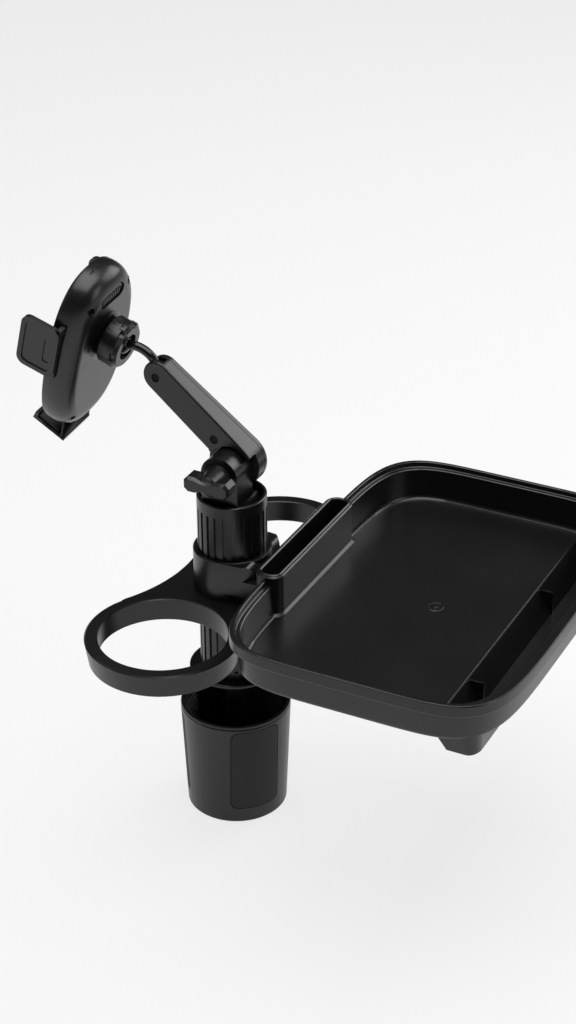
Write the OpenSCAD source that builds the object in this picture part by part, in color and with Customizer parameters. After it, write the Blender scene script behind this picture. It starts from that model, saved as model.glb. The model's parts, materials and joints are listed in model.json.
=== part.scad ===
// Car cup-holder expander with two cup rings, a swivelling food tray and a phone holder.
// Origin: centre of the base's underside. +X points to the tray, +Y along its long side, +Z up.

/* [Base] */
// Radius of the cup base at its rim
base_top_r = 36; // [33:0.5:40]
// Radius of the cup base at the floor
base_bottom_r = 32.7; // [31:0.1:33]
// Height of the cup base
base_h = 77; // [70:1:95]
// Wall thickness of the cup base
base_wall = 2.4; // [1.8:0.1:2.8]
// Thickness of the base floor
base_floor = 3; // [2.5:0.1:3.4]
// Width of one grip pad, measured straight across
pad_w = 33; // [26:0.5:34]
// Lower edge of the grip pads above the ground
pad_z0 = 11.4; // [10.5:0.1:14]
// Distance from the top of the pads to the rim
pad_top_gap = 4; // [3.5:0.5:8]
// Direction of the first grip pad, the others follow at 120 degrees
pad_az = -40; // [-60:5:-20]
// How far the grip pads slide out
pad_travel = 3; // [2:0.1:3.5]

/* [Column] */
// Radius of the column over its ribs
column_r = 22; // [21:0.1:22.5]
// Wall of the column behind the ribs
column_wall = 2; // [1.8:0.1:2.4]
// Number of grooves round the column
groove_n = 24; // [16:2:28]
// Depth of the grooves
groove_depth = 1.1; // [0.6:0.1:1.4]
// Width of the grooves
groove_w = 2.2; // [1.4:0.1:3]
// Height of the column's foot flange above the ground
flange_z = 101.7; // [98:0.1:110]
// Radius of the foot flange
flange_r = 29.3; // [27:0.1:31]
// Thickness of the foot flange
flange_t = 3; // [2.5:0.1:4]
// Top of the column above the ground
column_top_z = 230; // [226:1:236]
// Radius of the stem that carries the column
stem_r = 6.85; // [6:0.05:8]

/* [Cup rings] */
// Top of the ring plate above the ground
plate_z = 164.6; // [150:0.1:168]
// Height of the cup rings
ring_h = 15.3; // [12:0.1:18]
// Inner radius of a cup ring
ring_in_r = 40; // [36:0.5:42]
// Outer radius of a cup ring at its top
ring_out_r = 48.3; // [46:0.1:50]
// Draft of the ring's outer wall, top to bottom
ring_draft = 2.2; // [0:0.1:3]
// Wall of the hollow ring section
ring_wall = 2.2; // [1.8:0.1:2.6]
// Distance of the first cup ring from the column axis
ring_a_reach = 73.3; // [72:0.1:80]
// Distance of the second cup ring from the column axis
ring_b_reach = 70.5; // [70:0.1:80]
// Direction of the first cup ring
ring_a_az = -98; // [-102:1:-90]
// Direction of the second cup ring
ring_b_az = 93; // [86:1:98]
// Fillet between the rings and the hub
neck_fillet = 30; // [20:1:36]

/* [Tray] */
// Length of the tray along Y
tray_len = 262; // [230:1:290]
// Width of the tray along X
tray_w = 182; // [170:1:200]
// Distance from the column axis to the tray's near edge
tray_gap = 49; // [48:0.5:60]
// Top of the tray rim above the ground
tray_rim_z = 209; // [206:0.5:216]
// Depth of the tray from the rim to its underside
tray_depth = 26.5; // [22:0.5:26.5]
// Wall and floor thickness of the tray
tray_wall = 1.8; // [1.6:0.1:3]
// Extra depth of the trough at the far end
trough_depth = 15; // [8:0.5:18]
// Width of the trough
trough_w = 36; // [28:1:40]
// Length of the card slot block
slot_len = 108; // [90:1:120]
// Width of the card slot block
slot_block_w = 18; // [16:0.5:20]
// Width of the card slot
slot_w = 10; // [6:0.5:12]
// Distance of the tray pivot from the column axis
tray_pivot_x = 100; // [96:1:106]
// Top of the collar that carries the tray arm
collar_top_z = 192.5; // [188:0.5:196]

/* [Arm] */
// Height of the arm's pivot axis
axis_z = 248.5; // [246:0.5:256]
// Elevation of the arm
arm_elev = 36.5; // [20:0.5:60]
// Distance from the arm pivot to the fork
arm_len = 70.9; // [60:0.1:90]
// Width of the arm seen from the side
arm_w = 19.5; // [18:0.1:21]
// Radius of the arm's hub
hub_r = 17.3; // [16:0.1:17.6]
// Radius of the post's rounded head
post_r = 12.5; // [11:0.1:13]
// Span of the wing knob
knob_span = 31; // [26:1:36]

/* [Ball joint] */
// Radius of the ball
ball_r = 8; // [7:0.1:8.4]
// Radius of the bent rod
rod_r = 3; // [2.5:0.1:3.4]
// Bend radius of the rod
rod_bend = 18; // [12:1:18]
// Largest radius of the ball nut
nut_r = 16; // [15:0.1:17]
// Thickness of the ball nut
nut_t = 13.4; // [12:0.2:13.6]
// Height of the ball centre above the arm pivot
ball_rise = 62.9; // [60:0.1:68]
// Distance of the ball centre behind the arm pivot
ball_back = 82.2; // [80:0.1:88]

/* [Phone holder] */
// Tilt of the phone holder from upright
holder_tilt = 17.5; // [0:0.5:25]
// Roll of the phone holder on its ball
holder_roll = -8; // [-15:1:15]
// Length of the phone holder
holder_len = 119.4; // [112:0.2:130]
// Width of the phone holder
holder_w = 69.9; // [66:0.1:74]
// Thickness of the phone holder
holder_t = 20.5; // [19.5:0.5:23]
// Roundness exponent of the holder's outline
holder_n = 2.6; // [2.2:0.1:3.5]
// Height of the side clamp plates
clamp_h = 38; // [30:1:40]
// Reach of the clamp plates in front of the holder
clamp_reach = 18; // [14:1:24]
// Travel of one clamp plate
clamp_travel = 12; // [6:1:14]
// Width of the foot bracket
foot_w = 30; // [24:1:31]
// How far the foot stands below the holder
foot_drop = 13; // [9:0.5:15]

/* [Hidden] */
$fn = 96;
eps = 0.01;
gap = 0.3;
fit = 0.06;
black = [0.07, 0.07, 0.075];
soft_black = [0.11, 0.11, 0.11];
steel = [0.62, 0.63, 0.65];

// base and cam drive
spigot_r = 5;
hub_boss_r = 8.6;
recess_r = 6.6;
spigot_z = 3.8;
disc_z = 8;
disc_t = 3;
disc_r = 17.8;
pin_r = 1.6;
pin_orbit = 11.6;
leg_w = 8;
leg_z0 = base_floor + gap;
leg_z1 = disc_z - 0.7;
rail_t = 1.6;
groove_top = base_h - 2;

// column and what turns on it
column_z0 = flange_z + flange_t;
column_in_r = column_r - column_wall;
shelf_t = 4;
shelf_z = column_top_z - 24;
band_h = 8;
stop_h = 4.7;
collar_r = column_r + 3;
collar_z0 = plate_z + gap;
plate_t = 4;
hub_out_r = column_r + 5.5;

// tray
tray_a = tray_w / 2;
tray_b = tray_len / 2;
tray_cx = tray_gap + tray_a;
tray_z0 = tray_rim_z - tray_depth;
arm_top_z = tray_z0 - gap;
arm_plate_t = 11;
tray_step = 3.4;
floor_z = tray_z0 + tray_wall;
trough_x1 = tray_gap + tray_w - 17;
trough_x0 = trough_x1 - trough_w + 6;
trough_r = 10;
rib_near = 63.7;
rib_far = 47;
rib_reach = 10.5;
slot_x0 = tray_gap - 7;
slot_top_z = tray_rim_z + 2.5;
tray_pin_r = 6;

// arm and post, in the arm's own frame: x along the arm, y across it, z along +Y
arm_far = 16;
arm_near = -3;
arm_near_tip = 2.4;
ear_far = 4;
ear_near = -16;
seam = 11.8;
fork_near = 6.2;
rod_y = (fork_near + seam) / 2;
arm_mid = hub_r - arm_w / 2;
fork_v = arm_mid - 1;
bolt_r = 3;
knob_z0 = -ear_near + gap;
screw_in = 18.4;

// ball joint and holder, in the holder's own frame: x forward, z up, origin at the ball
ball_c = [-ball_back, rod_y, axis_z + ball_rise];
fork_c = [-cos(arm_elev) * arm_len + sin(arm_elev) * fork_v, rod_y,
    axis_z + sin(arm_elev) * arm_len + cos(arm_elev) * fork_v];
collet_r = ball_r + 2.2;
back_x = 9.75;
front_x = back_x + holder_t;
holder_cz = -13.3;
holder_a = holder_w / 2;
holder_b = holder_len / 2;
shell_t = 2.2;
seam_x = front_x - 6;
slide_t = 2.8;
slide_x = seam_x - slide_t - gap;
clamp_z0 = -18;
clamp_y = holder_a + 1.3;
clamp_t = 3;
foot_x = slide_x - 2.6 - 0.5;
foot_t = 2.6;
foot_z = holder_cz - holder_b - foot_drop;
foot_lean = 14;
foot_reach = 25;
post_y = 21;
post_dz = 44;
button_z = holder_cz + 45;
button_w = 25;
button_h = 9;

// rounded rectangle about the origin
module rrect(w, h, r) {
    square([w - 2 * r, h], center = true);
    square([w, h - 2 * r], center = true);
    for (x = [-1, 1], y = [-1, 1]) translate([x * (w / 2 - r), y * (h / 2 - r)]) circle(r);
}

// two circles and the strip between their outer tangents
module link2d(p, rp, q, rq) {
    d = norm(q - p);
    a = atan2(q[1] - p[1], q[0] - p[0]);
    b = acos((rp - rq) / d);
    translate(p) circle(rp);
    translate(q) circle(rq);
    polygon([p + rp * [cos(a + b), sin(a + b)], p + rp * [cos(a - b), sin(a - b)],
        q + rq * [cos(a - b), sin(a - b)], q + rq * [cos(a + b), sin(a + b)]]);
}

// closed solid through a list of rings, each a list of points
module loft(rings) {
    n = len(rings[0]);
    m = len(rings);
    pts = [for (ring = rings) each ring];
    sides = [for (j = [0 : m - 2], i = [0 : n - 1]) each
        [[j * n + i, (j + 1) * n + (i + 1) % n, j * n + (i + 1) % n],
         [j * n + i, (j + 1) * n + i, (j + 1) * n + (i + 1) % n]]];
    polyhedron(pts, concat(sides, [[for (i = [0 : n - 1]) i], [for (i = [n - 1 : -1 : 0]) (m - 1) * n + i]]));
}

function spow(v, e) = sign(v) * pow(abs(v), e);

// base and grip pads

function cone_r(z) = base_bottom_r + (base_top_r - base_bottom_r) * z / base_h;

module pad_prism(w, z0, z1, r0, r1) {
    translate([0, 0, (z0 + z1) / 2])
        rotate([90, 0, 90])
            translate([0, 0, r0])
                linear_extrude(r1 - r0) rrect(w, z1 - z0, 5);
}

module base_cup() {
    color(black)
        difference() {
            rotate_extrude()
                polygon([[0, 0], [base_bottom_r - 1.2, 0], [cone_r(1.2), 1.2], [cone_r(groove_top - 0.5), groove_top - 0.5],
                    [cone_r(groove_top) - 0.5, groove_top], [cone_r(groove_top + 0.5), groove_top + 0.5],
                    [cone_r(base_h) - 0.4, base_h], [cone_r(base_h) - base_wall, base_h],
                    [cone_r(base_floor + 1) - base_wall, base_floor + 1], [cone_r(base_floor) - base_wall - 1, base_floor],
                    [0, base_floor]]);
            translate([0, 0, -eps]) cylinder(h = base_floor + 1, r = recess_r);
            for (k = [0 : 2]) rotate(pad_az + 120 * k)
                pad_prism(pad_w, pad_z0, base_h - pad_top_gap, cone_r(0) - 9, base_top_r + 5);
        }
    color(black)
        rotate_extrude()
            polygon([[spigot_r + fit, spigot_z], [recess_r, spigot_z], [recess_r, base_floor - 0.2],
                [hub_boss_r, base_floor - 0.2], [hub_boss_r, disc_z - gap], [spigot_r + fit, disc_z - gap]]);
    color(black)
        for (k = [0 : 2], s = [-1, 1]) rotate(pad_az + 120 * k)
            translate([hub_boss_r + 0.4, s * (leg_w / 2 + gap + rail_t / 2) - rail_t / 2, base_floor - 0.2])
                cube([15.5, rail_t, 3.2]);
}

// cap that closes the screw's recess
module base_cap() {
    color(black)
        rotate_extrude() polygon([[0, 0], [recess_r - 0.3, 0], [recess_r, 0.3], [recess_r, 1.2], [0, 1.2]]);
}

module grip_pad(k) {
    z1 = base_h - pad_top_gap - 0.35;
    z0 = pad_z0 + 0.35;
    groove_pitch = 2.4;
    color(soft_black)
        rotate(pad_az + 120 * k) {
            intersection() {
                pad_prism(pad_w - 0.7, z0, z1, cone_r(0) - 8, base_top_r + 3);
                rotate_extrude()
                    polygon(concat([[cone_r(z0), z0], [cone_r(z1), z1], [cone_r(z1) - 3.2, z1]],
                        [for (i = [0 : floor((z1 - z0 - 8) / groove_pitch)]) each
                            let(z = z1 - 4 - i * groove_pitch, r = cone_r(z) - 3.2)
                            [[r, z + 0.5], [r + 0.7, z], [r, z - 0.5]]],
                        [[cone_r(z0) - 3.2, z0]]));
            }
            translate([cone_r(0) - 10.2, -leg_w / 2, leg_z0]) cube([3.5, leg_w, 30]);
            translate([cone_r(0) - 10.2, -leg_w / 2, z0 + 1]) cube([cone_r(z0) - 3.2 - cone_r(0) + 10.2, leg_w, leg_z0 + 29 - z0]);
            translate([pin_orbit - 2, -leg_w / 2, leg_z0]) cube([cone_r(0) - 8 - pin_orbit, leg_w, leg_z1 - leg_z0]);
            translate([pin_orbit, 0, leg_z1 - 0.5]) cylinder(h = disc_z + disc_t + 0.2 - leg_z1, r = pin_r, $fn = 32);
        }
}

module grip_pad_a() { grip_pad(0); }
module grip_pad_b() { grip_pad(1); }
module grip_pad_c() { grip_pad(2); }

// spiral slot: the pin's orbit grows by the pad travel over a quarter turn
module cam_slot(k) {
    w = pin_r + gap;
    steps = 12;
    a0 = pad_az + 120 * k;
    function path(t, o) = (pin_orbit + pad_travel * t + o) * [cos(a0 - 90 * t), sin(a0 - 90 * t)];
    polygon(concat([for (i = [0 : steps]) path(i / steps, w)], [for (i = [steps : -1 : 0]) path(i / steps, -w)]));
    for (t = [0, 1]) translate(path(t, 0)) circle(w + 0.1, $fn = 48);
}

module cam_stem() {
    color(black) {
        difference() {
            union() {
                translate([0, 0, disc_z]) cylinder(h = disc_t, r = disc_r);
                translate([0, 0, spigot_z - gap]) cylinder(h = disc_z - spigot_z + gap + 1, r = spigot_r);
                translate([0, 0, disc_z]) cylinder(h = flange_z - disc_z, r = stem_r);
                translate([0, 0, flange_z - eps]) cylinder(h = flange_t + 6, r = spigot_r);
                translate([0, 0, flange_z - 4]) cylinder(h = 4, r1 = stem_r, r2 = stem_r + 3);
            }
            translate([0, 0, disc_z - 1]) linear_extrude(disc_t + 2) for (k = [0 : 2]) cam_slot(k);
            translate([0, 0, 0]) cylinder(h = 16, r = 1.6, $fn = 32);
        }
    }
}

module stem_screw() {
    color(steel) {
        translate([0, 0, spigot_z - gap - 2]) cylinder(h = 1.1, r = 3, $fn = 32);
        translate([0, 0, spigot_z - gap - 1]) cylinder(h = 1, r = recess_r - 0.4, $fn = 48);
        translate([0, 0, spigot_z - gap - 0.5]) cylinder(h = 11.5, r = 1.55, $fn = 32);
    }
}

// column and foot flange

module column_flange() {
    color(black)
        difference() {
            translate([0, 0, flange_z])
                rotate_extrude()
                    polygon([[spigot_r, 0], [flange_r - 1, 0], [flange_r, 1], [flange_r, flange_t - 0.6],
                        [flange_r - 0.6, flange_t], [spigot_r, flange_t]]);
            for (a = [0 : 120 : 240]) rotate(a + 30) translate([14, 0, flange_z - eps]) {
                cylinder(h = flange_t + 1, r = 1.7, $fn = 32);
                cylinder(h = 1.6, r = 3.1, $fn = 32);
            }
        }
}

module flange_screws() {
    color(steel)
        for (a = [0 : 120 : 240]) rotate(a + 30) translate([14, 0, flange_z]) {
            translate([0, 0, 0.2]) cylinder(h = 1.3, r = 2.9, $fn = 32);
            translate([0, 0, 1]) cylinder(h = 8.5, r = 1.6, $fn = 32);
        }
}

module column() {
    color(black)
        difference() {
            union() {
                translate([0, 0, column_z0]) cylinder(h = band_h - 3, r = column_r);
                translate([0, 0, column_z0 + band_h - 3])
                    linear_extrude(column_top_z - band_h - column_z0 - band_h + 3)
                        difference() {
                            circle(column_r);
                            for (i = [0 : groove_n - 1]) rotate(i * 360 / groove_n)
                                translate([column_r - groove_depth + 3, 0]) square([6, groove_w], center = true);
                        }
                translate([0, 0, column_top_z - band_h])
                    rotate_extrude() polygon([[0, 0], [column_r, 0], [column_r, band_h - 0.6], [column_r - 0.6, band_h], [0, band_h]]);
            }
            translate([0, 0, column_z0 + 8]) cylinder(h = shelf_z - column_z0 - 8, r = column_in_r - 0.4);
            translate([0, 0, shelf_z + shelf_t]) cylinder(h = 40, r = column_in_r);
            translate([0, 0, shelf_z - eps]) cylinder(h = shelf_t + 1, r = 6 + fit);
            translate([0, 0, column_z0 - eps]) cylinder(h = 6.2, r = spigot_r);
            for (a = [0 : 120 : 240]) rotate(a + 30) translate([14, 0, column_z0 - eps]) cylinder(h = 7.2, r = 1.62, $fn = 32);
        }
}

module stop_ring() {
    color(black)
        translate([0, 0, plate_z - ring_h - gap - stop_h])
            rotate_extrude()
                polygon([[column_r, 0], [column_r + 2.6, 0], [column_r + 3.2, 0.8], [column_r + 3.2, stop_h], [column_r, stop_h]]);
}

// ring plate

function reach_pt(r, a) = r * [cos(a), sin(a)];
ring_a_c = reach_pt(ring_a_reach, ring_a_az);
ring_b_c = reach_pt(ring_b_reach, ring_b_az);

// centre of a circle of radius rf that touches both outer circles, on side s of the line from the hub
function fillet_c(c, rc, rf, s) =
    let(d = norm(c), a = atan2(c[1], c[0]), p = hub_out_r + rf, q = rc + rf, b = acos((d * d + p * p - q * q) / (2 * d * p)))
    p * [cos(a + s * b), sin(a + s * b)];

module neck2d(c, rc, rf) {
    difference() {
        polygon([[0, 0], fillet_c(c, rc, neck_fillet, -1), c, fillet_c(c, rc, neck_fillet, 1)]);
        for (s = [-1, 1]) translate(fillet_c(c, rc, neck_fillet, s)) circle(rf);
    }
}

module ring_body(c) {
    translate([c[0], c[1], plate_z - ring_h])
        difference() {
            rotate_extrude()
                polygon([[ring_in_r, 0.8], [ring_in_r + 0.8, 0], [ring_out_r - ring_draft, 0], [ring_out_r, ring_h - 1],
                    [ring_out_r - 1, ring_h], [ring_in_r + 0.6, ring_h], [ring_in_r, ring_h - 0.6]]);
            rotate_extrude()
                polygon([[ring_in_r + ring_wall, -1], [ring_out_r - ring_draft - ring_wall, -1],
                    [ring_out_r - ring_wall - 0.3, ring_h - 3], [ring_in_r + ring_wall, ring_h - 3]]);
        }
}

module ring_plate() {
    color(black)
        difference() {
            union() {
                ring_body(ring_a_c);
                ring_body(ring_b_c);
                difference() {
                    union() {
                        translate([0, 0, plate_z - plate_t])
                            linear_extrude(plate_t) {
                                neck2d(ring_a_c, ring_out_r, neck_fillet);
                                neck2d(ring_b_c, ring_out_r, neck_fillet);
                            }
                        translate([0, 0, plate_z - ring_h + 2])
                            linear_extrude(ring_h - 2 - eps)
                                for (c = [ring_a_c, ring_b_c])
                                    difference() {
                                        neck2d(c, ring_out_r, neck_fillet);
                                        neck2d(c, ring_out_r, neck_fillet + 2.4);
                                    }
                    }
                    for (c = [ring_a_c, ring_b_c]) translate([c[0], c[1], plate_z - ring_h - 1])
                        cylinder(h = ring_h + 2, r = ring_out_r - ring_draft - 0.4);
                }
                translate([0, 0, plate_z - ring_h]) cylinder(h = ring_h, r = hub_out_r);
            }
            translate([0, 0, plate_z - ring_h - 1]) cylinder(h = ring_h + 2, r = column_r + 0.1);
        }
}

// tray and its arm

module tray_arm() {
    z0 = arm_top_z - arm_plate_t;
    flare_x = 27.5;
    color(black)
        difference() {
            union() {
                translate([0, 0, collar_z0])
                    rotate_extrude()
                        polygon([[column_r - 3, 0], [collar_r, 0], [collar_r, collar_top_z - collar_z0 - 0.8],
                            [collar_r - 0.8, collar_top_z - collar_z0], [column_r - 3, collar_top_z - collar_z0]]);
                translate([0, 0, z0]) linear_extrude(arm_plate_t) link2d([0, 0], collar_r, [tray_pivot_x, 0], 17);
                intersection() {
                    translate([0, 60, 0]) rotate([90, 0, 0])
                        linear_extrude(120)
                            polygon(concat([[0, z0 + 1], [flare_x + 4, z0 + 1]],
                                [for (i = [0 : 8]) let(t = i / 8) [flare_x + 3 - 11 * t, arm_top_z - 0.2
                                    + (collar_top_z - arm_top_z) * (1 - cos(180 * t)) / 2]], [[0, collar_top_z]]));
                    translate([0, 0, z0]) linear_extrude(60) link2d([0, 0], collar_r, [tray_pivot_x, 0], 17);
                    translate([0, 0, z0]) cylinder(h = 60, r = collar_r + 5);
                }
            }
            translate([0, 0, z0 - 20]) cylinder(h = 60, r = column_r + 0.1);
            difference() {
                translate([0, 0, z0 - eps]) linear_extrude(arm_plate_t - 3.5) link2d([0, 0], collar_r - 2.6, [tray_pivot_x, 0], 14.4);
                translate([0, 0, z0 - 1]) cylinder(h = arm_plate_t, r = collar_r + 2);
                translate([tray_pivot_x, 0, z0 - 1]) cylinder(h = arm_plate_t, r = tray_pin_r + 3);
                translate([collar_r, -1.2, z0 - 1]) cube([tray_pivot_x - collar_r, 2.4, arm_plate_t]);
            }
            translate([tray_pivot_x, 0, z0 - 1]) cylinder(h = arm_plate_t + 2, r = tray_pin_r + fit);
        }
}

// one ring of the tray: inset d, height z, extra inset e on the far side
function tray_ring(d, z, e = 0) =
    [for (i = [0 : 95]) let(t = i * 360 / 96 + 1.875, c = cos(t), s = sin(t), p = c > 0 ? 2 / 5.5 : 2 / 7)
        [tray_cx + (tray_a - d - (c > 0 ? e : 0)) * spow(c, p), (tray_b - d) * spow(s, p), z]];

module trough_block(x0, x1, half, z0, z1, lean) {
    hull() {
        translate([0, 0, z0]) linear_extrude(0.1) {
            for (s = [-1, 1]) {
                translate([x1 - trough_r, s * (half - trough_r)]) circle(trough_r - 1, $fn = 48);
                translate([x0 + lean, s * (half - 4)]) circle(2, $fn = 24);
            }
        }
        translate([0, 0, z1 - 0.1]) linear_extrude(0.1) {
            for (s = [-1, 1]) {
                translate([x1 - trough_r + 0.5, s * (half - trough_r + 1)]) circle(trough_r, $fn = 48);
                translate([x0 + 2, s * (half - 2)]) circle(2, $fn = 24);
            }
        }
    }
}

module tray() {
    half = tray_b - 16;
    block_y = slot_len / 2;
    z_low = tray_z0 - trough_depth;
    color(black) {
        difference() {
            union() {
                loft([tray_ring(9.5, tray_z0), tray_ring(7.4, tray_z0 + 0.7), tray_ring(5.8, tray_z0 + 2.6),
                    tray_ring(3.2, tray_rim_z - 9), tray_ring(0.2, tray_rim_z - 7.6), tray_ring(0, tray_rim_z - 0.7),
                    tray_ring(0.6, tray_rim_z)]);
                trough_block(trough_x0 - 3, trough_x1 + 3, half, z_low, tray_z0 + 2, 11);
                translate([slot_x0 + slot_block_w / 2, 0, tray_z0 + 1.5])
                    linear_extrude(slot_top_z - tray_z0 - 1.5) rrect(slot_block_w, slot_len, 8);
            }
            difference() {
                loft([tray_ring(13.5, floor_z, 3), tray_ring(9.5, floor_z + 0.9, 3), tray_ring(7.6, floor_z + 3, 3),
                    tray_ring(5.6, tray_rim_z - tray_step, 3), tray_ring(3, tray_rim_z - tray_step + 0.1, 1.5),
                    tray_ring(2.4, tray_rim_z + 1, 1.5)]);
                translate([slot_x0 + slot_block_w / 2, 0, tray_z0])
                    linear_extrude(slot_top_z - tray_z0 + 2) rrect(slot_block_w + eps, slot_len + eps, 8);
            }
            trough_block(trough_x0, trough_x1, half - 3, z_low + tray_wall, floor_z + 0.5, 10);
            translate([slot_x0 + slot_block_w / 2, 0, tray_z0 + 1.5 + tray_wall])
                linear_extrude(slot_top_z) rrect(slot_w, slot_len - 8, slot_w / 2 - 0.01);
        }
        translate([trough_x0 - 1.2, -half + 12, floor_z - 0.5]) cube([1.2, 2 * half - 24, 1.1]);
        for (y = [-rib_near, rib_far])
            translate([trough_x0 + 0.5, y - 0.9, z_low + tray_wall - 0.5])
                difference() {
                    cube([rib_reach, 1.8, floor_z - z_low - tray_wall]);
                    rotate([-90, 0, 0]) translate([0, 0, -1]) linear_extrude(4) polygon([[-1, -8], [-1, 1], [6, 1], [1, -8]]);
                }
        translate([tray_pivot_x, 0, arm_top_z - arm_plate_t + 0.8])
            difference() {
                cylinder(h = tray_z0 - arm_top_z + arm_plate_t - 0.3, r = tray_pin_r);
                translate([0, 0, -1]) cylinder(h = 10, r = 1.9, $fn = 32);
            }
    }
}

module tray_bolt() {
    z = arm_top_z - arm_plate_t;
    color(steel)
        translate([tray_pivot_x, 0, 0]) {
            translate([0, 0, z - 0.4]) cylinder(h = 1.2, r = tray_pin_r - 0.4, $fn = 48);
            translate([0, 0, z - 1.6]) cylinder(h = 1.3, r = 9, $fn = 48);
            translate([0, 0, z - 3.6]) cylinder(h = 2.2, r = 3.6, $fn = 6);
            translate([0, 0, z]) cylinder(h = 9, r = 1.85, $fn = 32);
        }
}

// head post and knob

module post_frame() {
    translate([0, 0, axis_z]) rotate([90, 0, 0]) children();
}

module head_post() {
    z0 = shelf_z + shelf_t + gap;
    color(black)
        difference() {
            union() {
                translate([0, 0, z0]) cylinder(h = 5, r = column_in_r - 0.4);
                translate([0, 0, shelf_z - 0.5]) cylinder(h = shelf_t + 2, r = 6);
                intersection() {
                    translate([0, 10, 0]) rotate([90, 0, 0])
                        linear_extrude(26)
                            polygon([[-17, z0 + 4], [17, z0 + 4], [17, column_top_z - 8], [post_r, column_top_z - 1],
                                [-post_r, column_top_z - 1], [-17, column_top_z - 8]]);
                    translate([0, 0, z0 - 1]) cylinder(h = 40, r = column_in_r - 0.6);
                }
                intersection() {
                    translate([-post_r, ear_near, z0 + 4]) cube([2 * post_r, ear_far - ear_near, axis_z - z0 - 4]);
                    union() {
                        translate([0, 0, z0]) cylinder(h = 60, r = column_in_r - 0.6);
                        translate([-30, -30, column_top_z + gap]) cube(60);
                    }
                }
                translate([0, ear_far, axis_z]) rotate([90, 0, 0]) cylinder(h = ear_far - ear_near, r = post_r);
            }
            translate([0, 20, axis_z]) rotate([90, 0, 0]) cylinder(h = 60, r = bolt_r + fit);
            translate([0, 0, shelf_z - 1]) cylinder(h = 14, r = 1.6, $fn = 32);
        }
}

module post_screw() {
    color(steel) {
        translate([0, 0, shelf_z - 1.7]) cylinder(h = 1.2, r = 8.5, $fn = 48);
        translate([0, 0, shelf_z - 3]) cylinder(h = 1.4, r = 3, $fn = 32);
        translate([0, 0, shelf_z - 2]) cylinder(h = 12, r = 1.55, $fn = 32);
    }
}

module wing_knob() {
    w = knob_span / 2;
    color(black)
        post_frame()
            difference() {
                union() {
                    translate([0, 0, knob_z0]) cylinder(h = 6, r1 = 8.4, r2 = 7.6);
                    translate([0, 0, knob_z0 + 5.6])
                        linear_extrude(12) {
                            circle(7.6);
                            for (s = [0, 180]) rotate(s) link2d([5, 0], 3.6, [w - 5.4, 0], 5.4);
                        }
                    translate([0, 0, knob_z0 + 17.5]) cylinder(h = 1.6, r1 = 6, r2 = 5);
                }
                translate([0, 0, knob_z0 - 1]) cylinder(h = 13, r = bolt_r + fit);
            }
}

module pivot_bolt() {
    color(steel)
        post_frame() {
            translate([0, 0, -seam - 3.5]) cylinder(h = seam + 3.5 + knob_z0 + 11, r = bolt_r);
            translate([0, 0, -seam - 3.3]) cylinder(h = 3, r = 5.2, $fn = 6);
        }
}

// arm

module arm_frame() {
    translate([0, 0, axis_z]) rotate([0, arm_elev + 180, 0]) rotate([-90, 0, 0]) children();
}

module arm_outline() {
    circle(hub_r);
    translate([0, arm_mid - arm_w / 2]) square([arm_len, arm_w]);
    translate([arm_len, arm_mid]) circle(arm_w / 2);
}

module arm_body() {
    tilt = atan((arm_near_tip - arm_near) / arm_len);
    color(black)
        arm_frame()
            difference() {
                union() {
                    translate([0, 0, ear_far + gap]) linear_extrude(seam - ear_far - gap) arm_outline();
                    translate([0, 0, arm_near])
                        linear_extrude(ear_far + gap - arm_near + eps)
                            difference() {
                                translate([2, arm_mid - arm_w / 2]) union() {
                                    square([arm_len - 2, arm_w]);
                                    translate([arm_len - 2, arm_w / 2]) circle(arm_w / 2);
                                    translate([-8, arm_w - 9]) square([12, 9]);
                                }
                                circle(post_r + 1.6);
                            }
                }
                translate([-20, -20, arm_near]) rotate([0, -tilt, 0]) translate([0, 0, -20]) cube([130, 60, 20]);
                translate([arm_len, fork_v, fork_near]) cylinder(h = 20, r = arm_w / 2 + 3.5);
                translate([0, 0, -20]) cylinder(h = 60, r = bolt_r + fit);
                for (x = [screw_in, arm_len]) translate([x, fork_v, -20]) {
                    cylinder(h = 60, r = 1.65, $fn = 32);
                    cylinder(h = 20 + (x > 30 ? arm_near_tip : arm_near + 1.2) + 2.2, r = 2.8, $fn = 32);
                }
            }
}

module arm_cover() {
    color(black)
        arm_frame()
            difference() {
                union() {
                    translate([0, 0, seam]) linear_extrude(arm_far - seam - 1) arm_outline();
                    translate([0, 0, arm_far - 1])
                        linear_extrude(1) {
                            circle(hub_r - 0.8);
                            translate([0, arm_mid - arm_w / 2 + 0.8]) square([arm_len, arm_w - 1.6]);
                            translate([arm_len, arm_mid]) circle(arm_w / 2 - 0.8);
                        }
                }
                translate([0, 0, seam - 1]) cylinder(h = 20, r = 6.3);
                for (x = [screw_in, arm_len]) translate([x, fork_v, seam - eps]) cylinder(h = 2.6, r = 1.65, $fn = 32);
            }
}

module arm_screws() {
    color(steel)
        arm_frame()
            for (x = [screw_in, arm_len]) translate([x, fork_v, (x > 30 ? arm_near_tip : arm_near + 1.2) + 0.6]) {
                cylinder(h = 1.6, r = 2.6, $fn = 32);
                translate([0, 0, 1]) cylinder(h = seam + 2.4 - (x > 30 ? arm_near_tip : arm_near + 1.2) - 1.6, r = 1.6, $fn = 32);
            }
}

// rod, ball nut and socket

// one ring of the rod at point [x, z], where the rod runs at angle a above +X
function rod_ring(x, z, a) =
    [for (i = [0 : 19]) let(t = i * 18) [x - rod_r * cos(t) * sin(a), rod_y - rod_r * sin(t), z + rod_r * cos(t) * cos(a)]];

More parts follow.
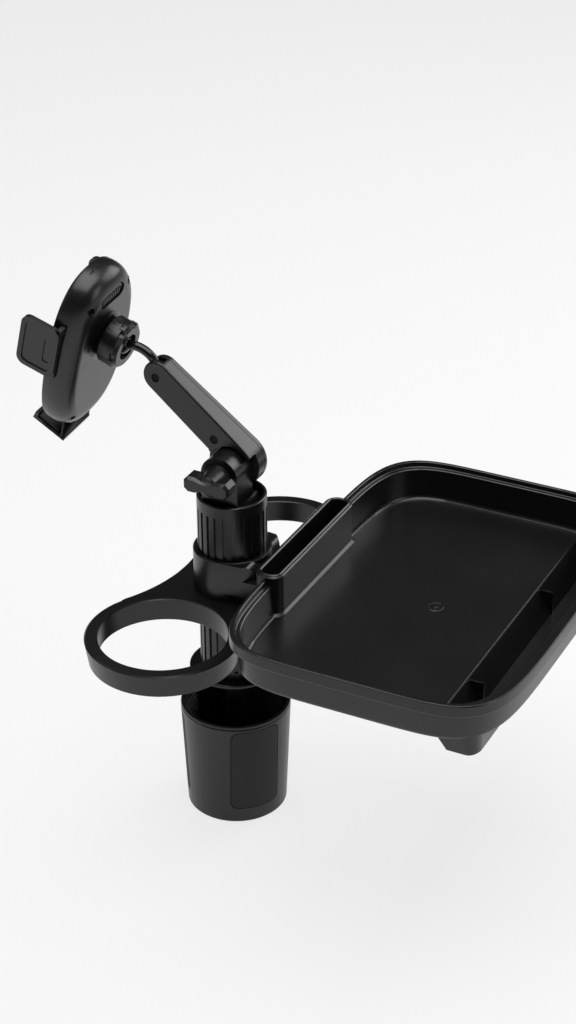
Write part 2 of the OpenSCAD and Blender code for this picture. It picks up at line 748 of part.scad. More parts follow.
module ball_rod() {
    rise = ball_c[2] - fork_c[2];
    lean = 23;
    corner = [fork_c[0] - rise * tan(lean), ball_c[2]];
    turn = 90 - lean;
    tang = rod_bend * tan(turn / 2);
    bend_c = [corner[0] - tang, corner[1] - rod_bend];
    color(black)
        difference() {
            union() {
                translate(ball_c) sphere(ball_r);
                loft(concat([rod_ring(ball_c[0] + 2, ball_c[2], 0)],
                    [for (i = [0 : 10]) let(a = 90 - turn * i / 10)
                        rod_ring(bend_c[0] + rod_bend * cos(a), bend_c[1] + rod_bend * sin(a), a - 90)],
                    [rod_ring(fork_c[0] - 2 * sin(lean), fork_c[2] + 2 * cos(lean), -turn)]));
                translate([fork_c[0], fork_near + 0.3, fork_c[2]]) rotate([-90, 0, 0]) cylinder(h = seam - fork_near - 0.6, r = 6);
            }
            translate([fork_c[0], fork_near - 3, fork_c[2]]) rotate([-90, 0, 0]) cylinder(h = 16, r = 1.66, $fn = 48);
            translate([fork_c[0], fork_near - 6 + 0.3, fork_c[2]]) rotate([-90, 0, 0]) cylinder(h = 6, r = 12);
            translate([fork_c[0], seam - 0.3, fork_c[2]]) rotate([-90, 0, 0]) cylinder(h = 6, r = 12);
        }
}

module holder_frame() {
    translate(ball_c) rotate([0, holder_tilt, 0]) rotate([0, 0, 180]) rotate([holder_roll, 0, 0]) children();
}

module ball_nut() {
    color(black)
        holder_frame()
            rotate([0, 90, 0])
                difference() {
                    translate([0, 0, -nut_t / 2])
                        linear_extrude(nut_t)
                            difference() {
                                circle(nut_r);
                                for (i = [0 : 7]) rotate(i * 45) translate([nut_r + 3.4, 0]) circle(5.2, $fn = 48);
                            }
                    translate([0, 0, -nut_t / 2 + 1.6]) cylinder(h = nut_t, r = collet_r + gap);
                    translate([0, 0, -nut_t]) cylinder(h = 2 * nut_t, r = collet_r - 1.4);
                }
}

module ball_socket() {
    r = ball_r + 0.15;
    x0 = -nut_t / 2 + 2.2;
    a1 = acos(x0 / r);
    color(black)
        holder_frame()
            difference() {
                rotate([0, 90, 0])
                    rotate_extrude()
                        polygon(concat([[0, back_x], [17, back_x], [13.4, back_x - 1.2], [collet_r + 0.6, nut_t / 2 + 0.4],
                            [collet_r, nut_t / 2 + 0.2], [collet_r, x0]],
                            [for (i = [12 : -1 : 1]) r * [sin(a1 * i / 12), cos(a1 * i / 12)]], [[0, r]]));
                for (a = [15, 75, 135]) rotate([a, 0, 0]) translate([-12, -0.8, -20]) cube([14, 1.6, 40]);
            }
}

// phone holder

function holder_ring(x, s, d = 0) =
    [for (i = [0 : 59]) let(t = i * 6 + 3, e = 2 / holder_n)
        [x, (holder_a * s - d) * spow(cos(t), e), holder_cz + (holder_b * s - d) * spow(sin(t), e)]];

module holder_posts(x0, x1, r) {
    for (y = [-post_y, post_y], z = [-post_dz, post_dz])
        translate([x0, y, holder_cz + z]) rotate([0, 90, 0]) cylinder(h = x1 - x0, r = r, $fn = 32);
}

module stadium_x(x0, x1, w, h) {
    translate([x0, 0, 0]) rotate([90, 0, 90]) linear_extrude(x1 - x0) rrect(w, h, h / 2 - 0.01);
}

module holder_back() {
    color(black)
        holder_frame()
            difference() {
                union() {
                    difference() {
                        loft([holder_ring(back_x, 0.76), holder_ring(back_x + 0.5, 0.83), holder_ring(back_x + 1.6, 0.9),
                            holder_ring(back_x + 3.6, 0.95), holder_ring(back_x + 7, 0.985), holder_ring(seam_x, 1)]);
                        loft([holder_ring(back_x + shell_t, 0.74, 1), holder_ring(back_x + shell_t + 1, 0.86, 1.5),
                            holder_ring(back_x + 7, 0.96, 1.6), holder_ring(seam_x + 1, 1, shell_t)]);
                    }
                    intersection() {
                        holder_posts(back_x + 1, seam_x, 4.2);
                        loft([holder_ring(back_x + 0.1, 0.8), holder_ring(back_x + 3.6, 0.94), holder_ring(seam_x, 0.98)]);
                    }
                }
                holder_posts(back_x - 2, back_x + 4.4, 2.4);
                holder_posts(back_x, seam_x, 1.35);
                translate([0, 0, button_z]) stadium_x(back_x - 2, back_x + 8, button_w + 0.8, button_h + 0.8);
                translate([slide_x - 0.4, -60, clamp_z0 - 0.4]) cube([20, 120, clamp_h + 0.8]);
                translate([foot_x - 0.4, -foot_w / 2 - 0.4, -120]) cube([foot_t + 0.8, foot_w + 0.8, 120 + holder_cz - 30]);
            }
}

module holder_front() {
    color(black)
        holder_frame()
            difference() {
                loft([holder_ring(seam_x, 1), holder_ring(front_x - 2, 0.995), holder_ring(front_x - 0.5, 0.98), holder_ring(front_x, 0.96)]);
                difference() {
                    loft([holder_ring(seam_x - 1, 1, shell_t), holder_ring(front_x - 2.6, 0.99, shell_t)]);
                    holder_posts(seam_x - 3, front_x, 3.8);
                }
                translate([front_x - 0.9, 0, 0]) stadium_hollow();
                holder_posts(seam_x - 2, front_x - 3, 1.25);
            }
}

module stadium_hollow() {
    translate([0, 0, holder_cz]) rotate([90, 0, 90]) linear_extrude(4) rrect(holder_w * 0.62, holder_len * 0.66, 12);
}

module holder_pad() {
    color(soft_black)
        holder_frame()
            translate([front_x - 0.9, 0, holder_cz]) rotate([90, 0, 90])
                linear_extrude(1.7) rrect(holder_w * 0.62 - 0.4, holder_len * 0.66 - 0.4, 11.8);
}

module holder_screws() {
    color(steel)
        holder_frame() {
            holder_posts(back_x + 2.7, back_x + 4.4, 2.2);
            holder_posts(back_x + 4, seam_x + 1.5, 1.2);
        }
}

module release_button() {
    color(black)
        holder_frame()
            translate([0, 0, button_z])
                union() {
                    stadium_x(back_x + 1.1, back_x + 5.2, button_w, button_h);
                    stadium_x(back_x + 4.8, back_x + 6, button_w + 3, button_h + 2);
                    for (i = [-4 : 4]) translate([back_x + 0.5, i * 2.4, 0]) rotate([25, 0, 0]) translate([0, -0.55, -3]) cube([1, 1.1, 6]);
                }
}

module clamp(s) {
    color(black)
        holder_frame()
            mirror([0, s < 0 ? 1 : 0, 0]) {
                translate([slide_x, 9, clamp_z0 + 4]) cube([slide_t, clamp_y - 9 + clamp_t / 2, clamp_h - 8]);
                translate([slide_x, clamp_y - 4, clamp_z0]) cube([slide_t, 4 + clamp_t / 2, clamp_h]);
                translate([0, clamp_y, clamp_z0 + clamp_h / 2])
                    rotate([-90, 0, 0])
                        linear_extrude(clamp_t)
                            translate([(slide_x + front_x + clamp_reach) / 2, 0]) rrect(front_x + clamp_reach - slide_x, clamp_h, 6);
            }
}

module clamp_left() { clamp(-1); }
module clamp_right() { clamp(1); }

module clamp_pad(s) {
    color(soft_black)
        holder_frame()
            mirror([0, s < 0 ? 1 : 0, 0])
                translate([front_x + 1.4 + (clamp_reach - 3) / 2, clamp_y, clamp_z0 + clamp_h / 2])
                    rotate([90, 0, 0]) linear_extrude(1.2) rrect(clamp_reach - 4, clamp_h - 8, 4);
}

module clamp_pad_left() { clamp_pad(-1); }
module clamp_pad_right() { clamp_pad(1); }

module foot_bracket() {
    color(black)
        holder_frame() {
            translate([foot_x, -foot_w / 2, foot_z + 1]) cube([foot_t, foot_w, holder_cz - 36 - foot_z]);
            translate([foot_x, 0, foot_z]) rotate([0, -foot_lean, 0]) {
                translate([0, -foot_w / 2, 0]) cube([foot_reach, foot_w, foot_t]);
                translate([foot_reach - 2.4, -foot_w / 2, 0]) cube([2.4, foot_w, foot_t + 3]);
            }
        }
}

module foot_pad() {
    color(soft_black)
        holder_frame()
            translate([foot_x, 0, foot_z]) rotate([0, -foot_lean, 0])
                translate([foot_t + 3.4, -foot_w / 2 + 1, foot_t]) cube([foot_reach - foot_t - 6.2, foot_w - 2, 1.6]);
}

base_cup();
base_cap();
grip_pad_a();
grip_pad_b();
grip_pad_c();
cam_stem();
stem_screw();
column_flange();
flange_screws();
column();
stop_ring();
ring_plate();
tray_arm();
tray();
tray_bolt();
head_post();
post_screw();
wing_knob();
pivot_bolt();
arm_body();
arm_cover();
arm_screws();
ball_rod();
ball_nut();
ball_socket();
holder_back();
holder_front();
holder_pad();
holder_screws();
release_button();
clamp_left();
clamp_right();
clamp_pad_left();
clamp_pad_right();
foot_bracket();
foot_pad();
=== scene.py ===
# Cup-holder expander for a car: base with grip pads, fluted column, two cup rings, food tray
# and a phone holder on an arm.
# Metres, +Z up, origin at the centre of the base's underside, +X to the tray, +Y along the tray's long side.
import json
import math
import bpy
from mathutils import Matrix, Vector


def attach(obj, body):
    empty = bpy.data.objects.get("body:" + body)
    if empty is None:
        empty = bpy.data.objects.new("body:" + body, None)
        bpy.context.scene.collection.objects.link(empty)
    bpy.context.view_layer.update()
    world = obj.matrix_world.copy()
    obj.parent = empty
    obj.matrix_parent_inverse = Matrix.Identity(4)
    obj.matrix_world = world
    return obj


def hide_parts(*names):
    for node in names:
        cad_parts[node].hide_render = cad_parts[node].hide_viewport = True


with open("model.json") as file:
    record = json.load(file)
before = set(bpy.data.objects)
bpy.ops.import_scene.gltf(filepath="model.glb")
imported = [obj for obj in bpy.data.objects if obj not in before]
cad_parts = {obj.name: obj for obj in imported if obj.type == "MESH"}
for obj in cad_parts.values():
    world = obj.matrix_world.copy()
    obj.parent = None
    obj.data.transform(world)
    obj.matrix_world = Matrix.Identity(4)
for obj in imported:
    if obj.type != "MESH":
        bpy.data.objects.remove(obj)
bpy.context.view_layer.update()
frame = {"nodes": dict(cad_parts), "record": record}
mm = 0.001
# points nearer than this are one, and faces that turn less than this are one flat face
weldGap = 0.01 * mm
flatTurn = math.radians(0.6)

view = {
    "place": (0.597214, -1.095010, 0.920732),
    "turn": (60.5, 0.0, 26.2175),
    "lens": 80.83,
    "shiftX": -0.0269,
    "sensor": 36.0,
    "clip": (0.05, 50),
}
studio = {
    "floorHex": "#E9E9EA",
    "floorSize": 60.0,
    "floorHeight": -0.0002,
    "floorGlow": 0.75,
    # share of white glow the floor shows in glossy rays: a painted reflection on the object's glossy faces
    "paintedReflectionGlow": 0.5,
    # each soft panel: place, the point it faces, side in metres and watts
    "panels": {
        "topPanel": ((0.05, -0.1, 1.9), (0.05, -0.1, 0), 1.8, 34.0),
        "backPanel": ((0.72, 1.33, 1.05), (0, 0, 0.25), 1.0, 11.0),
        "rightPanel": ((1.7, 0.1, 0.9), (0.1, 0, 0.2), 0.9, 5.0),
        "leftPanel": ((-1.3, -0.7, 0.9), (0, 0, 0.2), 0.9, 1.2),
    },
    "worldGrey": 0.06,
    "skyShown": 0.8,
}


def linearOf(hexText):
    # sRGB hex to the linear colour that Blender's sockets take
    parts = [int(hexText[i:i + 2], 16) / 255.0 for i in (1, 3, 5)]
    return tuple(c / 12.92 if c <= 0.04045 else ((c + 0.055) / 1.055) ** 2.4 for c in parts) + (1.0,)


def addNode(tree, kind, place, values=None, links=None, **settings):
    # one node with its settings, socket values and incoming links
    node = tree.nodes.new(kind)
    node.location = place
    for key, value in settings.items():
        setattr(node, key, value)
    for key, value in (values or {}).items():
        node.inputs[key].default_value = value
    for key, source in (links or {}).items():
        tree.links.new(source, node.inputs[key])
    return node


def startMaterial(name):
    mat = bpy.data.materials.new(name)
    mat.use_nodes = True
    tree = mat.node_tree
    tree.nodes.clear()
    coords = addNode(tree, "ShaderNodeTexCoord", (-900, 0))
    shader = addNode(tree, "ShaderNodeBsdfPrincipled", (100, 0))
    addNode(tree, "ShaderNodeOutputMaterial", (400, 0), links={"Surface": shader.outputs["BSDF"]})
    return mat, tree, coords, shader


# how deep the grain is, as a share of its size
grainDepth = 0.12


def mouldedPlastic(name, spec):
    # a spark-eroded mould leaves a fine grain, so the gloss breaks up softly;
    # handling leaves faint duller patches
    mat, tree, coords, shader = startMaterial(name)
    where = {"Vector": coords.outputs["Object"]}
    grain = addNode(tree, "ShaderNodeTexNoise", (-650, -200),
                    {"Scale": 1000.0 / spec["grainMm"], "Detail": 2.0}, where)
    patches = addNode(tree, "ShaderNodeTexNoise", (-650, 150),
                      {"Scale": 1000.0 / spec["patchMm"], "Detail": 4.0}, where)
    middle, spread = spec["roughness"], spec["spread"]
    rough = addNode(tree, "ShaderNodeMapRange", (-350, 100),
                    {"To Min": middle - spread, "To Max": middle + spread}, {"Value": patches.outputs["Fac"]})
    tint = addNode(tree, "ShaderNodeMixRGB", (-350, 350),
                   {"Color1": linearOf(spec["hex"]), "Color2": linearOf(spec["hexWorn"])},
                   {"Fac": patches.outputs["Fac"]})
    bump = addNode(tree, "ShaderNodeBump", (-150, -250),
                   {"Strength": spec["grainStrength"], "Distance": spec["grainMm"] * grainDepth * mm},
                   {"Height": grain.outputs["Fac"]})
    tree.links.new(tint.outputs["Color"], shader.inputs["Base Color"])
    tree.links.new(rough.outputs["Result"], shader.inputs["Roughness"])
    tree.links.new(bump.outputs["Normal"], shader.inputs["Normal"])
    shader.inputs["IOR"].default_value = spec["ior"]
    return mat


satinAbs = {"hex": "#0C0C0D", "hexWorn": "#111112", "roughness": 0.3, "spread": 0.05, "grainMm": 0.6,
            "grainStrength": 0.22, "patchMm": 45.0, "ior": 1.53}
padRubber = {"hex": "#131313", "hexWorn": "#1B1B1B", "roughness": 0.62, "spread": 0.06, "grainMm": 0.5,
             "grainStrength": 0.4, "patchMm": 20.0, "ior": 1.5}
blackedSteel = {"hex": "#161617", "hexWorn": "#222224", "roughness": 0.3, "spread": 0.06, "grainMm": 0.4,
                "grainStrength": 0.15, "patchMm": 12.0}
paintedSteel = {"hex": "#0D0D0E", "hexWorn": "#121213", "roughness": 0.18, "spread": 0.04, "grainMm": 1.2,
                "grainStrength": 0.1, "patchMm": 15.0, "ior": 1.5}
materials = {
    "black_abs": mouldedPlastic("satinMouldedAbs", satinAbs),
    "pad_rubber": mouldedPlastic("softPadRubber", padRubber),
    "painted_steel": mouldedPlastic("glossPaintedSteel", paintedSteel),
}


def oxidisedSteel(name, spec):
    # blacked screw steel: metallic, dark oxide that rubs a little brighter in patches
    mat = mouldedPlastic(name, dict(spec, ior=1.5))
    mat.node_tree.nodes["Principled BSDF"].inputs["Metallic"].default_value = 1.0
    return mat


materials["screw_steel"] = oxidisedSteel("blackedScrewSteel", blackedSteel)
print("materials done")


def pick(*objs):
    # object mode, with only these selected and the last one active
    if bpy.context.object and bpy.context.object.mode != "OBJECT":
        bpy.ops.object.mode_set(mode="OBJECT")
    bpy.ops.object.select_all(action="DESELECT")
    for obj in objs:
        obj.select_set(True)
        bpy.context.view_layer.objects.active = obj


def applyAll(obj):
    pick(obj)
    for mod in list(obj.modifiers):
        bpy.ops.object.modifier_apply(modifier=mod.name)


def finishPiece(obj, name, body, slotName, *nodes, smooth=32):
    # place goes into the mesh, then material, shading, body and the CAD nodes it stands for
    pick(obj)
    bpy.ops.object.transform_apply(location=True, rotation=True, scale=True)
    bpy.ops.object.shade_smooth_by_angle(angle=math.radians(smooth))
    weights = obj.modifiers.new("flatFacesStayFlat", "WEIGHTED_NORMAL")
    weights.keep_sharp = True
    applyAll(obj)
    obj.name = name
    obj.data.name = name
    obj.data.materials.clear()
    obj.data.materials.append(materials[slotName])
    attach(obj, body)
    if nodes:
        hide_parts(*nodes)
    return obj


def mergedCopy(nodeName):
    # a CAD node's shape as a clean mesh of its own: triangles merged, flat faces joined again
    source = frame["nodes"][nodeName]
    obj = bpy.data.objects.new(nodeName + "Copy", source.data.copy())
    bpy.context.scene.collection.objects.link(obj)
    pick(obj)
    bpy.ops.object.mode_set(mode="EDIT")
    bpy.ops.mesh.select_all(action="SELECT")
    bpy.ops.mesh.remove_doubles(threshold=weldGap)
    bpy.ops.mesh.dissolve_limited(angle_limit=flatTurn)
    bpy.ops.object.mode_set(mode="OBJECT")
    return obj


def roundEdges(obj, width, segments=2, angle=34):
    mod = obj.modifiers.new("roundedEdges", "BEVEL")
    mod.width = width * mm
    mod.segments = segments
    mod.limit_method = "ANGLE"
    mod.angle_limit = math.radians(angle)
    mod.miter_outer = "MITER_ARC"
    mod.use_clamp_overlap = True
    applyAll(obj)


def bodyOf(nodeName):
    for body, nodes in frame["record"]["behaviour"]["bodies"].items():
        if nodeName in nodes:
            return body


def polar(angle, radius=1.0):
    return Vector((math.cos(angle), math.sin(angle))) * radius


def arcPoints(x, y, radius, angles):
    turns = [math.radians(angle) for angle in angles]
    return [Vector((x + radius * math.cos(turn), y + radius * math.sin(turn))) for turn in turns]


def superOutline(halfX, halfY, nearPower, farPower, count):
    # a superellipse in even steps along its edge, with its own power on the near (-X) and the far side
    fine = []
    steps = 4096
    for i in range(steps):
        c, s = math.cos(2 * math.pi * i / steps), math.sin(2 * math.pi * i / steps)
        e = 2 / (farPower if c > 0 else nearPower)
        fine.append(Vector((halfX * math.copysign(abs(c) ** e, c), halfY * math.copysign(abs(s) ** e, s))))
    spans = [(fine[(i + 1) % steps] - fine[i]).length for i in range(steps)]
    total = sum(spans)
    outline, run, k = [], 0.0, 0
    for i in range(steps):
        while k < count and run >= total * k / count:
            outline.append(Vector((fine[i].x / halfX, fine[i].y / halfY)))
            k += 1
        run += spans[i]
    return outline


def roundRect(halfX, halfY, nearRadius, farRadius, arc=10):
    # a rectangle with round corners, counter-clockwise, in units of its half sizes
    outline = []
    corners = ((1, 1, farRadius), (-1, 1, nearRadius), (-1, -1, nearRadius), (1, -1, farRadius))
    for quarter, (sx, sy, radius) in enumerate(corners):
        for i in range(arc + 1):
            a = math.radians(90 * quarter + 90 * i / arc)
            outline.append(Vector(((sx * (halfX - radius) + radius * math.cos(a)) / halfX,
                                   (sy * (halfY - radius) + radius * math.sin(a)) / halfY)))
    return outline


def roundOutline(count):
    return [polar(2 * math.pi * i / count) for i in range(count)]


def stackRings(name, outline, levels):
    # a filled circle laid on the outline, then extruded and resized from level to level:
    # each level is (half size in x, half size in y, centre in x, height), all in mm
    pick()
    bpy.ops.mesh.primitive_circle_add(vertices=len(outline), radius=1, fill_type="NGON", location=(0, 0, 0))
    obj = bpy.context.object
    halfX, halfY, centre, height = levels[0]
    for vert, point in zip(obj.data.vertices, outline):
        vert.co = ((centre + point.x * halfX) * mm, point.y * halfY * mm, height * mm)
    bpy.ops.object.mode_set(mode="EDIT")
    bpy.ops.mesh.select_all(action="SELECT")
    for last, level in zip(levels, levels[1:]):
        bpy.ops.mesh.extrude_region_move(
            TRANSFORM_OT_translate={"value": ((level[2] - last[2]) * mm, 0, (level[3] - last[3]) * mm)})
        bpy.ops.transform.resize(value=(level[0] / last[0], level[1] / last[1], 1),
                                 center_override=(level[2] * mm, 0, level[3] * mm))
    bpy.ops.mesh.select_all(action="SELECT")
    bpy.ops.mesh.normals_make_consistent(inside=False)
    bpy.ops.object.mode_set(mode="OBJECT")
    obj.name = name
    return obj


def carve(obj, tool, operation="DIFFERENCE"):
    # boolean with a helper that is deleted afterwards
    mod = obj.modifiers.new("carve", "BOOLEAN")
    mod.operation = operation
    mod.solver = "EXACT"
    mod.object = tool
    applyAll(obj)
    pick(tool)
    bpy.ops.object.delete()


def addBox(low, high):
    # a plain box between two corners in mm
    pick()
    middle = [(a + b) / 2 * mm for a, b in zip(low, high)]
    bpy.ops.mesh.primitive_cube_add(size=1, location=middle)
    obj = bpy.context.object
    obj.scale = [(b - a) * mm for a, b in zip(low, high)]
    bpy.ops.object.transform_apply(location=True, rotation=True, scale=True)
    return obj


def joinAll(*objs):
    pick(*objs[1:], objs[0])
    bpy.ops.object.join()
    return bpy.context.object


def shift(obj, x=0.0, y=0.0, z=0.0):
    # moves a shape by mm inside its mesh, so its object stays at the origin
    obj.data.transform(Matrix.Translation((x * mm, y * mm, z * mm)))
    return obj


def turned(name, profile, centre=0.0, height=0.0, count=48):
    # a turned shape: each step of the profile is a radius and a height
    levels = [(radius, radius, centre, height + up) for radius, up in profile]
    return stackRings(name, roundOutline(count), levels)


def addPeg(radius, low, high, x=0.0, y=0.0, count=48):
    # a round peg between two heights, also the tool for a bore
    return shift(turned("peg", ((radius, low), (radius, high)), count=count), x, y)


tray = {
    "near": 49.05, "width": 181.9, "length": 261.9, "rim": 209.0, "depth": 26.5, "wall": 1.8,
    "nearPower": 5.6, "farPower": 5.5, "points": 192, "farLedge": 3.0, "edge": 0.45,
    # the wall's profile in four runs: inset and height over the underside, the rim (twice) or the floor,
    # and in the step also the wider ledge at the far side
    "outside": ((7, 0), (5.6, 0.5), (4.7, 1.6), (4.4, 3)),
    "skirt": ((3.2, -9), (2.6, -8.2), (0.3, -7.6), (0, -7.1), (0, -0.8), (0.3, -0.2), (0.8, 0), (2, 0)),
    "step": ((2.5, -0.3, 1.5), (3, -3, 1.5), (3.4, -3.4, 1.5), (5.2, -3.4, 3), (5.7, -3.8, 3)),
    "inside": ((6.6, 3.2), (7.1, 1.6), (8.2, 0.5), (10.2, 0), (16, 0)),
    # mark of the mould's gate in the floor, and the pin that the tray turns on
    "gateAt": 139.0,
    "gate": ((5.4, -0.2), (5.2, 0.12), (4.6, 0.3), (4, 0.1), (1.7, 0.06), (1.3, 0.45), (0.5, 0.6)),
    "pinAt": 100.0, "pin": ((6, 0.5), (6, -10.4), (1.9, -10.4), (1.9, -2)),
}
trough = {
    "far": 214.0, "wide": 30.0, "deep": 15.0, "margin": 16.0, "wall": 3.0,
    "lean": 10.0, "farLean": 1.0, "endLean": 3.0, "nearRound": 2.5, "farRound": 10.0,
    "lipFrom": 2.0, "lipWide": 1.2, "lipEnds": 13.0, "lipHigh": 0.7, "lipEdge": 0.35,
    # a rib's half thickness at its foot, its shoulder and its top
    "ribs": (-63.7, 47.0), "ribFrom": 3.0, "ribReach": 10.5, "ribHalf": (0.9, 0.75, 0.6), "ribEdge": 0.2,
}
slot = {
    "long": 108.0, "wide": 18.0, "round": 7.5, "outside": 7.0, "above": 2.5, "rim": 3.2, "mouthRound": 5.6,
    "bevel": 0.8, "bead": 1.6, "beadHigh": 0.75, "foot": 1.5, "footHigh": 1.6, "bottom": 3.3,
}


def troughBlock(grow, bottom, top):
    # leans in at its near side, and less at its other sides
    g = trough
    halfLong = tray["length"] / 2 - g["margin"] + grow
    x0, x1 = g["far"] - g["wide"] - grow, g["far"] + grow
    lowX0, lowX1 = x0 + g["lean"], x1 - g["farLean"]
    return stackRings("troughBlock", roundRect((x1 - x0) / 2, halfLong, g["nearRound"], g["farRound"]), [
        ((lowX1 - lowX0) / 2, halfLong - g["endLean"], (lowX1 + lowX0) / 2, bottom),
        ((x1 - x0) / 2, halfLong, (x1 + x0) / 2, top)])


def troughDetails(low, floor):
    # the lip along the trough's near edge, and two ribs across it with narrow tops
    g = trough
    near = g["far"] - g["wide"]
    half = tray["length"] / 2 - g["margin"] - g["lipEnds"]
    lipX = near + g["lipFrom"]
    lip = addBox((lipX, -half, floor - 1), (lipX + g["lipWide"], half, floor + g["lipHigh"]))
    roundEdges(lip, g["lipEdge"], 3)
    parts = [lip]
    halfReach, middle = g["ribReach"] / 2, near + g["ribFrom"] + g["ribReach"] / 2
    foot, shoulder, top = g["ribHalf"]
    for y in g["ribs"]:
        rib = stackRings("troughRib", roundRect(halfReach, foot, foot / 3, foot / 3, 3), [
            (halfReach, foot, middle, low + tray["wall"] - 0.2), (halfReach, shoulder, middle, floor - 1.2),
            (halfReach - 1.4, top, middle + 1.2, floor + 0.1)])
        roundEdges(shift(rib, y=y), g["ribEdge"], 2)
        parts.append(rib)
    return parts


def slotBlock(name, grow, radius, steps):
    # a block about the slot's middle, grown from the slot's outside; each step is more growth and a height
    halfWide, halfLong = slot["wide"] / 2 + grow, slot["long"] / 2 + grow
    middle = tray["near"] - slot["outside"] + slot["wide"] / 2
    return stackRings(name, roundRect(halfWide, halfLong, radius, radius), [
        (halfWide + more, halfLong + more, middle, height) for more, height in steps])


def buildTray():
    t, c = tray, slot
    base = t["rim"] - t["depth"]
    floor = base + t["wall"]
    halfX, halfY = t["width"] / 2, t["length"] / 2
    centre = t["near"] + halfX

    def ring(inset, height, ledge=0.0):
        return (halfX - inset - ledge / 2, halfY - inset, centre - ledge / 2, height)

    levels = [ring(inset, base + up) for inset, up in t["outside"]]
    levels += [ring(inset, t["rim"] + up) for inset, up in t["skirt"]]
    levels += [ring(inset, t["rim"] + up, ledge) for inset, up, ledge in t["step"]]
    levels += [ring(inset, floor + up, t["farLedge"]) for inset, up in t["inside"]]
    outline = superOutline(halfX, halfY, t["nearPower"], t["farPower"], t["points"])
    shell = stackRings("trayShell", outline, levels)

    low, top = base - trough["deep"], t["rim"] + c["above"]
    crest, crestTop = c["bead"] / 2 - 0.1, top + c["beadHigh"]
    carve(shell, troughBlock(0, low, base + 1), "UNION")
    carve(shell, slotBlock("slotWalls", 0, c["round"], (
        (0, base + 1.5), (0, top - c["bevel"]), (-c["bevel"], top))), "UNION")
    carve(shell, slotBlock("slotFoot", c["foot"], c["round"] + 1, (
        (0, base + 1), (0, floor + 0.3), (-c["footHigh"], floor + 0.3 + c["footHigh"]))), "UNION")
    carve(shell, slotBlock("slotBead", c["bead"] - c["rim"], c["mouthRound"], (
        (0, top - 1), (0, top + 0.1), (-crest, crestTop))), "UNION")
    carve(shell, troughBlock(-trough["wall"], low + t["wall"], floor + 1))
    carve(shell, slotBlock("slotHollow", -c["rim"], c["mouthRound"] - 1, (
        (-0.6, base + c["bottom"]), (0, top + 0.1), (crest, crestTop), (c["bead"] / 2, top + 1))))
    roundEdges(shell, t["edge"], 3)
    parts = [shell] + troughDetails(low, floor)
    parts += [turned("gateMark", t["gate"], t["gateAt"], floor), turned("pivotPin", t["pin"], t["pinAt"], base)]
    finishPiece(joinAll(*parts), "trayMoulded", "tray", "black_abs", "tray", smooth=30)


rings = {
    "plateTop": 164.6, "plateThick": 4.0, "skirtLow": 151.3, "skirtWall": 2.4, "edge": 0.5, "waistEdge": 0.3,
    "ringA": (-10.2, -72.59), "ringB": (-3.69, 70.4), "ringRadius": 48.3, "insideRadius": 46.1, "draft": 1.5,
    "waistRadius": 102.4, "hubHole": 26.8, "bore": 22.5, "boreFrom": 140.0, "boreTo": 180.0,
    # the waist's ends: turn about the ring per step, first depth in its wall and more per step
    "tailTurn": 0.06, "tailDepth": 0.15, "tailSink": 0.6,
}


def buildRings():
    # the plate between the rings: one shallow waist on each side, with a skirt under its edge
    r = rings
    a, b = Vector(r["ringA"]), Vector(r["ringB"])
    along = (b - a).normalized()
    side = Vector((-along.y, along.x))

    def tail(ring, centre, turn):
        # the waist's end runs on along the ring and sinks into its wall
        start, surface = math.atan2(centre.y - ring.y, centre.x - ring.x), r["ringRadius"] - r["tailDepth"]
        steps = range(1, 5)
        return [ring + polar(start + turn * r["tailTurn"] * k, surface - r["tailSink"] * k) for k in steps]

    def waist(sign, radius):
        # an arc that touches both rings; its centre stays, and its radius may grow for the inside
        reach = r["ringRadius"] + r["waistRadius"]
        half = (b - a).length / 2
        centre = (a + b) / 2 + side * sign * math.sqrt(reach ** 2 - half ** 2)
        toA, toB = a - centre, b - centre
        start = math.atan2(toA.y, toA.x)
        sweep = math.atan2(toA.x * toB.y - toA.y * toB.x, toA.dot(toB))
        arc = [centre + polar(start + sweep * i / 40, radius) for i in range(41)]
        return list(reversed(tail(a, centre, sign))) + arc + tail(b, centre, -sign)

    def outline(grow):
        return waist(1, r["waistRadius"] + grow) + list(reversed(waist(-1, r["waistRadius"] + grow)))

    low, top = r["skirtLow"], r["plateTop"]
    web = stackRings("plateWeb", outline(0), [(1, 1, 0, low), (1, 1, 0, top + 0.05)])
    pocket = [(1, 1, 0, low - 2), (1, 1, 0, top - r["plateThick"])]
    carve(web, stackRings("platePocket", outline(r["skirtWall"]), pocket))
    inside, hub = r["insideRadius"], r["hubHole"]
    for centre, radius, draft in ((a, inside, r["draft"]), (b, inside, r["draft"]), (Vector((0, 0)), hub, 0)):
        profile = ((radius, low - 1), (radius + draft, top), (radius + draft, top + 5))
        carve(web, shift(turned("webHole", profile, count=128), centre.x, centre.y))
    roundEdges(web, r["waistEdge"], 3, 50)
    finishPiece(web, "plateWaistMoulded", "rings", "black_abs")

    plate = mergedCopy("ring_plate")
    carve(plate, addPeg(r["bore"], r["boreFrom"], r["boreTo"], count=128))
    roundEdges(plate, r["edge"])
    finishPiece(plate, "cupRingsMoulded", "rings", "black_abs", "ring_plate")


knob = {
    "axisZ": 248.5, "from": 16.3, "bore": 3.06, "boreDeep": 12.0, "edge": 0.55,
    "core": ((8.4, 0), (7.6, 6), (6.8, 14.2), (5.6, 15.4), (4.2, 15.8)),
    # a quarter of the wings' outline, and their heights over the foot with a share of it in x and y
    "wing": ((15.5, 2.43), (12.9, 5.4), (8.3, 5.4), (3.6, 3.6)),
    "wingSteps": ((0.9, 0.8, 5.6), (1, 1, 7.2), (1, 1, 15.6), (0.93, 0.72, 17.6)),
}


